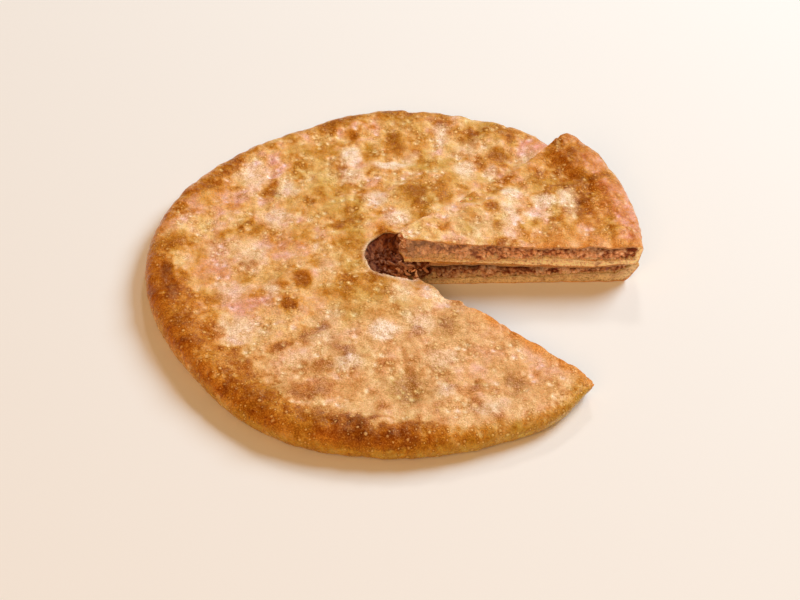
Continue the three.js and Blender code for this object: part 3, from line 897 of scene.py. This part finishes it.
def crust_rows(part, step):
    """Rows of the outer skin and inner face: from the top's inner edge, over the rim, to the underside."""
    rows = SimpleNamespace(outer=[], inner=[], unrolled=[], kinds=[])
    angles_table = np.linspace(part.start, part.end, CRUST_ANGLES)
    out_table, in_table = part.outer(angles_table), part.inner(angles_table)
    core_table = np.minimum(in_table, part.core)

    def plan_row(table, count):
        spread = np.interp(np.linspace(0, 1, count), part.crowd, part.spread)
        return sector_row(part, angles_table, table, spread)

    def add(kind, outer_table, outer_z, inner_table, inner_z, unrolled=0.0):
        fine = int(outer_table.mean() * (part.end - part.start) * part.density / step)
        count = HIDDEN_POINTS if kind == "under" else max(HIDDEN_POINTS, fine)
        plan = plan_row(outer_table, count)
        rows.outer.append(np.c_[plan, outer_z(plan)])
        plan = plan_row(inner_table, HIDDEN_POINTS)
        rows.inner.append(np.c_[plan, inner_z(plan)])
        rows.unrolled.append(np.full(count, unrolled))
        rows.kinds.append(np.full(count, kind))

    def level(low, high, share):
        def height(plan):
            angle = part.start + (angles_of(plan - part.apex) - part.start + 0.5) % TURN - 0.5
            return np.interp(angle, angles_table, toward(low, high, share))
        return height

    upper, lower, belly = part.upper(angles_table), part.lower(angles_table), part.belly(angles_table)
    inner_upper = np.maximum(upper - part.rim_crust, LEAST_ROUND)
    inner_lower = np.maximum(lower - 1, LEAST_ROUND)
    edge, edge_inner = out_table - upper, out_table - part.rim_crust - inner_upper
    for q in np.linspace(0, 1, int((edge - in_table).mean() / step)):
        add("top", toward(in_table, edge, q), part.top, toward(in_table, edge_inner, q), part.ceiling)

    unit = compass_of(angles_table)
    edge_plan, inner_plan = part.apex + edge[:, None] * unit, part.apex + edge_inner[:, None] * unit
    high, low = part.top(edge_plan), part.under(edge_plan)
    inner_high, inner_low = part.ceiling(inner_plan), part.floor(inner_plan)
    half = (high - low).mean() / 2
    arc = math.pi / 2 * (math.hypot(upper.mean(), half) + math.hypot(lower.mean(), half)) / math.sqrt(2)
    turns = int(arc / step)
    foot = part.lean(angles_table)
    for index in range(1, turns + 1):
        turn = math.pi * (0.5 - index / turns)
        share = belly + math.sin(turn) * (1 - belly if turn > 0 else belly)
        tuck, inner_tuck = (upper, inner_upper) if turn > 0 else (lower, inner_lower)
        lean = out_table - foot * (1 - share)
        add("rim", lean - tuck * (1 - math.cos(turn)), level(low, high, share),
            lean - part.rim_crust - inner_tuck * (1 - math.cos(turn)), level(inner_low, inner_high, share),
            arc * index / turns)

    under_edge = out_table - foot - lower
    under_inner = under_edge + lower - part.rim_crust - inner_lower
    count = int((under_edge - core_table).mean() / (UNDERSIDE_COARSER * step))
    for q in np.linspace(0, 1, count)[1:]:
        add("under", toward(under_edge, core_table, q), part.under,
            toward(under_inner, core_table, q), part.floor, arc)
    return rows


def cut_layer(part, top_crust, row, share, side):
    """One layer of points of a cut through the dough, made uneven, and its colours."""
    seed = part.seed
    along = np.c_[lengths(row[:, :2]), row[:, 2]]
    rough = 0.6 * noise(along, 1.6, seed + 90 + side) + 0.5 * noise(along, 4.5, seed + 95 + side)
    pores = smoothstep(fractal(along, 2.6, 3, seed + 99), 0.1, 0.8)
    crumb = mix(np.tile(part.dough, (len(row), 1)), DOUGH_PORE, 0.7 * pores)
    smear = smoothstep(fractal(along, 6, 3, seed + 97) + 1.3 * (share - 0.6), 0.0, 0.5)
    browned = np.maximum(0.6 * gauss(share, 0.12), top_crust)
    # The pie's far cut has a darker edge colour: painted shade under the slice
    color = mix(mix(crumb, MEAT_COLOR, 0.7 * smear), part.edge_colors[side], browned)
    return row + part.cut_normals[side] * rough[:, None], color


def build_crust(name, part, step):
    rows = crust_rows(part, step)
    body = Rows()
    outer_rows = [body.add(row) for row in rows.outer]
    body.sheet(outer_rows, flip=True)
    points = join(*body.points)
    flat = points[:, :2]
    normals = point_normals(points, join(*body.faces))

    # The look of the skin, on a plan that is unrolled over the rim
    kind, unrolled = join(*rows.kinds), join(*rows.unrolled)
    compass = flat / np.maximum(lengths(flat), TINY)[:, None]
    angle = angles_of(flat) % TURN
    outline_radius = np.interp(angle, AROUND, lengths(part.outline), period=TURN)
    edge_radius = outline_radius - part.upper(angle)
    on_rim, on_under = kind == "rim", kind == "under"
    plan = np.where(on_rim[:, None], compass * (edge_radius + unrolled)[:, None], flat)
    look, height = skin_look(plan, outline_radius - lengths(plan), part)
    look = np.where(on_under[:, None], underside_look(flat, part.seed), look)
    height = np.where(on_under, 0, height) * part.calm(flat)
    points = points + normals * height[:, None]
    points[:, 2] = np.maximum(points[:, 2], part.under(points[:, :2]))

    # The inner face
    body.points = [points]
    edge = part.edge(plan) * (1 + 0.7 * fractal(plan, 9, 2, part.seed + 30))
    flesh = np.c_[np.tile(EDGE_ORANGE, (len(points), 1)), np.clip(edge, 0, 1)]
    inner_rows = [body.add(row) for row in rows.inner]
    body.sheet(inner_rows)
    body.stitch(outer_rows[0], inner_rows[0])
    body.stitch(inner_rows[-1], outer_rows[-1])
    points = join(*body.points)
    flesh = join(flesh, opaque(np.tile(part.dough * INNER_SHADE, (len(points) - len(flesh), 1))))
    shell_faces = join(*body.faces)

    # The two cut faces, in layers from the skin to the inner face
    top_crust = np.array([CUT_BROWNING if kinds[0] == "top" else 0.0 for kinds in rows.kinds])
    points, flesh, cut_faces = close_cuts(
        body, points, flesh, outer_rows, inner_rows, CUT_LAYERS, lambda *at: cut_layer(part, top_crust, *at))
    faces = join(shell_faces, cut_faces)
    face_material = np.arange(len(faces)) >= len(shell_faces)
    look = join(look, np.zeros((len(points) - len(look), 4)))
    return make_object(name, points, faces, {"skin": look, "flesh": flesh}, [CRUST, DOUGH], face_material)


# The filling: a top and an underside of matching rows that meet at the rim, with torn faces at the cuts

def meat_color(points, lump, mark, seed):
    tone = 0.5 + 0.4 * noise(points, 28, seed + 62) + 0.6 * fractal(points, 9, 2, seed + 60)
    tone = tone + 0.5 * (mark - 0.5) + 0.6 * fractal(points, 2.4, 2, seed + 64)
    color = ramp_color(np.clip(tone, 0, 1), MEAT_RAMP)
    onion, _ = grains(points[:, :2], *ONIONS, seed + 70)
    color = mix(color, ONION_COLOR, 0.7 * smoothstep(onion, 0.1, 0.5))
    # Darker between the lumps: painted shade
    return mix(color, MEAT_DARK, 0.3 * (1 - lump))


TIP_SPREAD = 45.0
MOST_CRAG = 0.9


def torn_layer(part, row, share, side):
    """One layer of points of a cut through the filling, torn in and out, and its colours."""
    seed = part.seed
    along = np.c_[(row[:, :2] - part.apex) @ part.cut_along[side], row[:, 2]]
    lump, mark = grains(along, *CUT_LUMPS, seed + 20 + side)
    pit, _ = grains(along, *CUT_PITS, seed + 30 + side)
    rough = part.crag * (lump * mark + 0.6 * noise(along, 7, seed + 40 + side) - 0.45) - 1.2 * pit
    rough = np.minimum(rough, MOST_CRAG)
    # The pits are darkened: painted shade
    color = mix(meat_color(along, lump, mark, seed + 50 + side), 0.5 * MEAT_DARK, 0.75 * pit)
    # Painted shade under the top crust, changing along the cut
    gloom = toward(*part.gloom, smoothstep(along[:, 0], 70, 115))
    shade = part.tone * (1 - gloom * (1 - smoothstep(share + 0.3 * noise(along, 6, seed + 55), 0.0, 0.6)))
    dough = 0.75 * smoothstep(share + 0.4 * fractal(along, 7, 3, seed + 57), 0.75, 0.95)
    # For the pie the tip colour is dark: painted shade under the slice's tip
    color = mix(color, part.tip_color, 0.55 * gauss(along[:, 0], TIP_SPREAD)) * shade[:, None]
    return row + part.cut_normals[side] * rough[:, None], mix(color, DOUGH_COLOR, dough)


def build_filling(name, part):
    angles_table = np.linspace(part.start, part.end, FILLING_ANGLES)
    out_table, in_table = part.outer(angles_table), part.inner(angles_table)
    reach = (out_table - in_table).mean()
    body = Rows()
    tops, unders = [], []
    for share in np.linspace(0, 1, int(reach / FILLING_STEP)):
        radius = toward(in_table, out_table, share)
        fine = int(radius.mean() * (part.end - part.start) / FILLING_STEP)
        count = max(HIDDEN_POINTS, fine) if share * reach < part.fine else HIDDEN_POINTS
        plan = sector_row(part, angles_table, radius, np.linspace(0, 1, count))
        high, low = part.top(plan), part.under(plan)
        to_rim = min((1 - share) * reach / part.round, 1)
        swell = math.sqrt(1 - (1 - to_rim) ** 2)
        middle = (high + low) / 2
        tops.append(body.add(np.c_[plan, middle + (high - middle) * swell]))
        unders.append(body.add(np.c_[plan, middle - (middle - low) * swell]))
    body.sheet(tops, flip=True)
    body.sheet(unders)
    body.stitch(tops[-1], unders[-1], flip=True)
    body.stitch(tops[0], unders[0])
    points = join(*body.points)
    lump, mark = grains(points[:, :2], *TOP_CRUMBS, part.seed + 3)
    # The top is toned and tinted; in the pie's vent this is painted shade
    color = opaque(meat_color(points, lump, mark, part.seed) * part.top_tone * VENT_SHADE_TINT)
    count = int(part.height / FILLING_STEP)
    points, color, torn_faces = close_cuts(
        body, points, color, tops, unders, count, lambda *at: torn_layer(part, *at))
    return make_object(name, points, join(*body.faces, torn_faces), {"flesh": color}, [MEAT])


# Loose strands of mince, in the vent and at the slice's torn tip

VENT_STRANDS = 170
TIP_STRANDS = 26
# Red-brown tint of painted shade in the vent
VENT_SHADE_TINT = np.array([1.5, 0.88, 0.62])
TIP_TINT = np.array([1.0, 1.2, 1.55])
STRAND_RINGS = 9
STRAND_SIDES = 9


def vent_place(rng):
    """Place, length, thickness and tone of a strand on the filling in the vent: its tone is painted shade,
    darkest at its far left, with painted light towards the near right.
    """
    angle, out = rng.uniform(0, TURN), (VENT_RADIUS - 1) * math.sqrt(rng.random())
    plan = VENT_CENTRE + out * compass_of(angle)
    level = pie_filling_top(plan[None])[0] + rng.uniform(-0.3, 0.7)
    near = smoothstep((plan - VENT_CENTRE) @ np.array([0.7, -0.7]) / VENT_RADIUS, -0.6, 0.7)
    tone = 0.3 * VENT_SHADE_TINT + 2.6 * near * rng.random() * TIP_TINT
    return np.append(plan, level), rng.uniform(3, 7), rng.uniform(0.6, 1.2), tone


def tip_place(rng):
    """Place, length, thickness and tone of a strand at the torn tip of the slice."""
    reach = SLICE_TIP_REACH + rng.uniform(0, 0.8)
    plan = SLICE_APEX + reach * compass_of(rng.uniform(SLICE_NEAR, SLICE_FAR))
    level = toward(slice_floor(plan[None])[0], slice_ceiling(plan[None])[0], rng.uniform(0.1, 0.9))
    length, thick, tone = rng.uniform(2.5, 4.5), rng.uniform(0.8, 1.5), rng.uniform(1.2, 1.8)
    return np.append(plan, level), length, thick, tone * TIP_TINT


def strand(rng, place, length, thick, seed):
    """Points of one bent strand of mince."""
    heading, dip, bend = rng.uniform(0, TURN), rng.normal(0, 0.25), rng.normal(0, 0.5)
    along = np.linspace(-1, 1, STRAND_RINGS)
    turn = heading + bend * along
    course = np.c_[compass_of(turn), np.full(STRAND_RINGS, math.sin(dip))]
    middle = course * (along * length / 2)[:, None] + place
    girth = thick * np.sqrt(np.maximum(1 - along ** 2, 0.03))
    sideways = np.c_[-np.sin(turn), np.cos(turn), np.zeros(STRAND_RINGS)]
    around = np.linspace(0, TURN, STRAND_SIDES, endpoint=False)[None, :, None]
    ring = np.cos(around) * sideways[:, None] + np.sin(around) * np.array([0, 0, 1])
    points = (middle[:, None] + ring * girth[:, None, None]).reshape(-1, 3)
    return points + 0.35 * np.c_[[noise(points, 1.8, seed + k) for k in range(3)]].T


def build_strands(name, count, draw_place, seed):
    rng = np.random.default_rng(seed)
    grid = np.arange(STRAND_RINGS * STRAND_SIDES).reshape(STRAND_RINGS, STRAND_SIDES)
    ends = (grid[0], grid[-1][::-1])
    caps = [[end[0], end[k], end[k + 1]] for end in ends for k in range(1, STRAND_SIDES - 1)]
    faces = join(grid_faces(np.c_[grid, grid[:, :1]])[:, ::-1], caps)
    points, colors = [], []
    for _ in range(count):
        place, length, thick, tone = draw_place(rng)
        points.append(strand(rng, place, length, thick, seed))
        color = ramp_color(np.array([rng.uniform(0.1, 0.85)]), MEAT_RAMP) * tone
        colors.append(np.repeat(color, grid.size, axis=0))
    faces = join(*(faces + k * grid.size for k in range(count)))
    return make_object(name, join(*points), faces, {"flesh": opaque(join(*colors))}, [MEAT])


# Where the pieces lie

def out_of_cut(angle, side):
    """The direction out of a part across one of its cuts."""
    return np.append(compass_of(angle - math.pi / 2 if side == 0 else angle + math.pi / 2), 0)


# Nearer to the apex than this, the cuts wander no further
WANDER_FROM = 6


def ragged(seed, size):
    """Small wanderings of the two cuts, in radians at a distance from the apex."""
    def bend(radius, spread):
        line = np.c_[radius, np.zeros(len(radius))]
        wander = toward(fractal(line, 14, 3, seed), fractal(line, 14, 3, seed + 9), spread)
        return size * wander / np.maximum(radius, WANDER_FROM)
    return bend


PIE_RAGGED = ragged(seed=61, size=0.6)


def pie_bend(radius, spread):
    flare = NEAR_FLARE * smoothstep(radius, 136, 160) ** 2 * smoothstep(spread, 0.9, 1)
    waves = sum(depth * gauss(radius - at, width) for at, width, depth in NEAR_WAVES)
    out = flare + waves * smoothstep(spread, 0.95, 1)
    return PIE_RAGGED(radius, spread) - out / np.maximum(radius, WANDER_FROM)


def fixed_reach(reach):
    return lambda angle: np.full(np.shape(angle), float(reach))


def rim_measures(plain, *cuts):
    """The rim's two rounds, widest place and lean as functions of the angle, changed near the cuts."""
    def measure(k):
        return lambda angles: plain[k] + sum(rim[k] * gauss(angles - cut, CUT_SPREAD) for cut, rim in cuts)
    return dict(zip(("upper", "lower", "belly", "lean"), map(measure, range(4))))


def pie_edge(plan):
    """The near cut's upper edge is browned from half way out to the tip."""
    along = (plan - WEDGE_APEX) @ compass_of(NEAR_CUT)
    return gauss(from_cut(plan, WEDGE_APEX, NEAR_CUT), 7.5) * smoothstep(along, 50, 80)


def pie_lip(plan):
    """The vent's lip is thin and pale, but for its far side."""
    seen = plan - VENT_CENTRE
    return 0.7 * gauss(from_vent(plan), 1.4) * smoothstep(-seen[:, 1] - 0.8 * seen[:, 0], -12, 6)


def slice_edge(plan):
    return 0.8 * gauss(from_cut(plan, SLICE_APEX, SLICE_NEAR), 12.0) * smoothstep(plan[:, 0], 70, 90)


def slice_lip(plan):
    return np.zeros(len(plan))


def part_of(cuts, outline, rim, **rest):
    """A part between two cuts, with an outline and its rim's measures."""
    apex, start, end = cuts
    return SimpleNamespace(
        apex=apex, start=start, end=end, outline=outline, outer=sector_reach(apex, outline),
        cut_normals=(out_of_cut(start, 0), out_of_cut(end, 1)), **rim, **rest,
    )


PIE = part_of(
    PIE_CUTS, pie_outline,
    rim_measures((UPPER_ROUND, LOWER_ROUND, RIM_BELLY, 0), (FAR_CUT, FAR_CUT_RIM), (NEAR_CUT, NEAR_CUT_RIM)),
    bend=pie_bend, inner=sector_reach(WEDGE_APEX, vent_outline), core=CORE_REACH, rim_crust=RIM_CRUST,
    crowd=(0, HIDDEN_CROWD, 1), spread=(0, HIDDEN_SHARE, 1), density=(1 - HIDDEN_SHARE) / (1 - HIDDEN_CROWD),
    top=pie_top, ceiling=pie_ceiling, floor=pie_floor, under=pie_under, calm=calm_under_slice,
    # The far cut's crust edge is darker: painted shade under the slice
    dough=DOUGH_COLOR, edge_colors=(CRUST_EDGE * 0.75, CRUST_EDGE), edge=pie_edge, lip=pie_lip,
    spots=PIE_SPOTS, pales=PIE_PALES_AND_SHEENS, stains=PIE_STAINS, roses=PIE_ROSY_SHEENS, band=PIE_RIM,
    seed=300, pattern_shift=np.zeros(2),
)
SLICE = part_of(
    SLICE_CUTS, slice_outline,
    rim_measures((SLICE_UPPER_ROUND, SLICE_LOWER_ROUND, RIM_BELLY, 0), (SLICE_NEAR, SLICE_CUT_RIM)),
    bend=ragged(seed=71, size=0.6), inner=fixed_reach(SLICE_TIP_REACH), core=SLICE_TIP_REACH,
    rim_crust=SLICE_RIM_CRUST, crowd=(0, 1), spread=(0, 1), density=1.0,
    top=slice_top, ceiling=slice_ceiling, floor=slice_floor, under=slice_under, calm=no_calm,
    dough=DOUGH_COLOR * 1.4, edge_colors=(CRUST_EDGE, CRUST_EDGE), edge=slice_edge, lip=slice_lip,
    spots=SLICE_SPOTS, pales=SLICE_PALES_AND_SHEENS, stains=SLICE_STAINS, roses=SLICE_ROSY_SHEENS, band=SLICE_RIM,
    seed=700, pattern_shift=SLICE_SHIFT,
)

# The filling reaches a little into the crust around it
FILLING_GAP = -0.3


def pie_filling_top(plan):
    """The filling sinks below the vent, deepest at its far left."""
    seen = plan - VENT_CENTRE
    in_vent = 1 - smoothstep(lengths(seen), VENT_RADIUS * 0.55, VENT_RADIUS + 5)
    lump, mark = grains(plan, *VENT_CRUMBS, 17)
    mince = 2.2 * lump * (0.4 + 0.6 * mark) + 1.6 * noise(plan, 9, 18)
    slope = 2.5 * np.clip((seen[:, 1] - seen[:, 0]) / VENT_RADIUS, -1, 1)
    return pie_ceiling(plan) - FILLING_GAP + in_vent * (mince - VENT_DEPTH - slope)


def slice_filling_top(plan):
    return slice_ceiling(plan) - FILLING_GAP


def filling_of(part, top, recess, inner, **look):
    """The filling of a part: its cuts lie a little behind those of the crust."""
    half = (part.end - part.start) / 2
    apex = part.apex + compass_of(part.start + half) * recess / math.sin(half)
    outer = sector_reach(apex, part.outline)
    return SimpleNamespace(
        apex=apex, start=part.start, end=part.end, bend=part.bend,
        outer=lambda angle: outer(angle) - part.rim_crust - FILLING_GAP,
        inner=fixed_reach(inner), top=top, under=lambda plan: part.floor(plan) + FILLING_GAP, round=2.5,
        cut_normals=part.cut_normals, cut_along=(compass_of(part.start), compass_of(part.end)), **look,
    )


# The pie's filling: painted shade under its top crust, and its top in the vent toned down as painted shade
PIE_FILLING = filling_of(
    PIE, pie_filling_top, recess=0.5, inner=CORE_REACH, fine=30, height=13, crag=2.2, tone=1.28,
    gloom=(0.7, 0.35), top_tone=0.4, tip_color=0.7 * MEAT_DARK, seed=900,
)
# The slice's filling: painted shade under its top crust, and a paler torn tip
SLICE_FILLING = filling_of(
    SLICE, slice_filling_top, recess=0.3, inner=SLICE_TIP_REACH, fine=0, height=12, crag=1.6, tone=1.75,
    gloom=(0.3, 0.55), top_tone=1.3, tip_color=np.array([0.72, 0.82, 0.95]) * MEAT_PALE, seed=1300,
)


def place_piece(piece, node):
    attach(piece, "root")
    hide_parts(node)


place_piece(build_crust("pie_crust_baked", PIE, TOP_STEP), "pie_crust")
place_piece(build_crust("slice_crust_baked", SLICE, SLICE_STEP), "slice_crust")
place_piece(build_filling("pie_mince", PIE_FILLING), "pie_filling")
place_piece(build_filling("slice_mince", SLICE_FILLING), "slice_filling")
place_piece(build_strands("vent_mince", VENT_STRANDS, vent_place, seed=1700), "pie_filling")
place_piece(build_strands("slice_tip_mince", TIP_STRANDS, tip_place, seed=1800), "slice_filling")


# Floor, light and camera

FLOOR_COLOR = linear(240, 239, 238)
DAYLIGHT = (0.71, 0.88, 1.0)
SOFT_LIGHT = (1.0, 0.93, 0.86)
WARM_LIGHT = (1.0, 0.60, 0.28)
WORLD_STRENGTH = 0.3


def make_floor():
    bpy.ops.mesh.primitive_plane_add(size=12)
    floor = bpy.context.object
    floor.name = "floor"
    g = Graph("pale_floor")
    g.shade(Base_Color=rgba(FLOOR_COLOR), Roughness=0.8)
    floor.data.materials.append(g.material)


def make_light(name, place, size, power, color):
    """A round lamp that is aimed at the pie's middle."""
    data = bpy.data.lights.new(name, "AREA")
    data.shape = "DISK"
    data.size = size
    data.energy = power
    data.color = color
    light = add_object(name, data)
    light.location = place
    light.rotation_euler = (-Vector(place)).to_track_quat("-Z", "Y").to_euler()


CAMERA_SENSOR = 36.0
CAMERA_LENS = 82.6
CAMERA_ELEVATION = math.radians(43.48)
CAMERA_DISTANCE = 1177.8
CAMERA_AIM = np.array([1.6, -19.8, 0.0])


def make_camera():
    data = bpy.data.cameras.new("camera")
    data.sensor_width = CAMERA_SENSOR
    data.lens = CAMERA_LENS
    camera = add_object("camera", data)
    aim = Vector((CAMERA_AIM + FRAME_SHIFT) * MM)
    back = Vector((0, -math.cos(CAMERA_ELEVATION), math.sin(CAMERA_ELEVATION)))
    camera.location = aim + back * CAMERA_DISTANCE * MM
    camera.rotation_euler = (-back).to_track_quat("-Z", "Y").to_euler()
    bpy.context.scene.camera = camera


def make_world():
    world = bpy.data.worlds.new("studio")
    world.use_nodes = True
    background = world.node_tree.nodes["Background"]
    background.inputs["Color"].default_value = rgba(WARM_LIGHT)
    background.inputs["Strength"].default_value = WORLD_STRENGTH
    bpy.context.scene.world = world
    bpy.context.scene.view_settings.view_transform = "Standard"


make_floor()
make_light("key", place=(2.25, 1.6, 2.1), size=1.8, power=129, color=DAYLIGHT)
make_light("back", place=(0.3, 2.4, 2.0), size=0.4, power=14, color=SOFT_LIGHT)
make_light("front", place=(-0.8, -2.4, 2.1), size=2.4, power=46, color=WARM_LIGHT)
make_world()
make_camera()
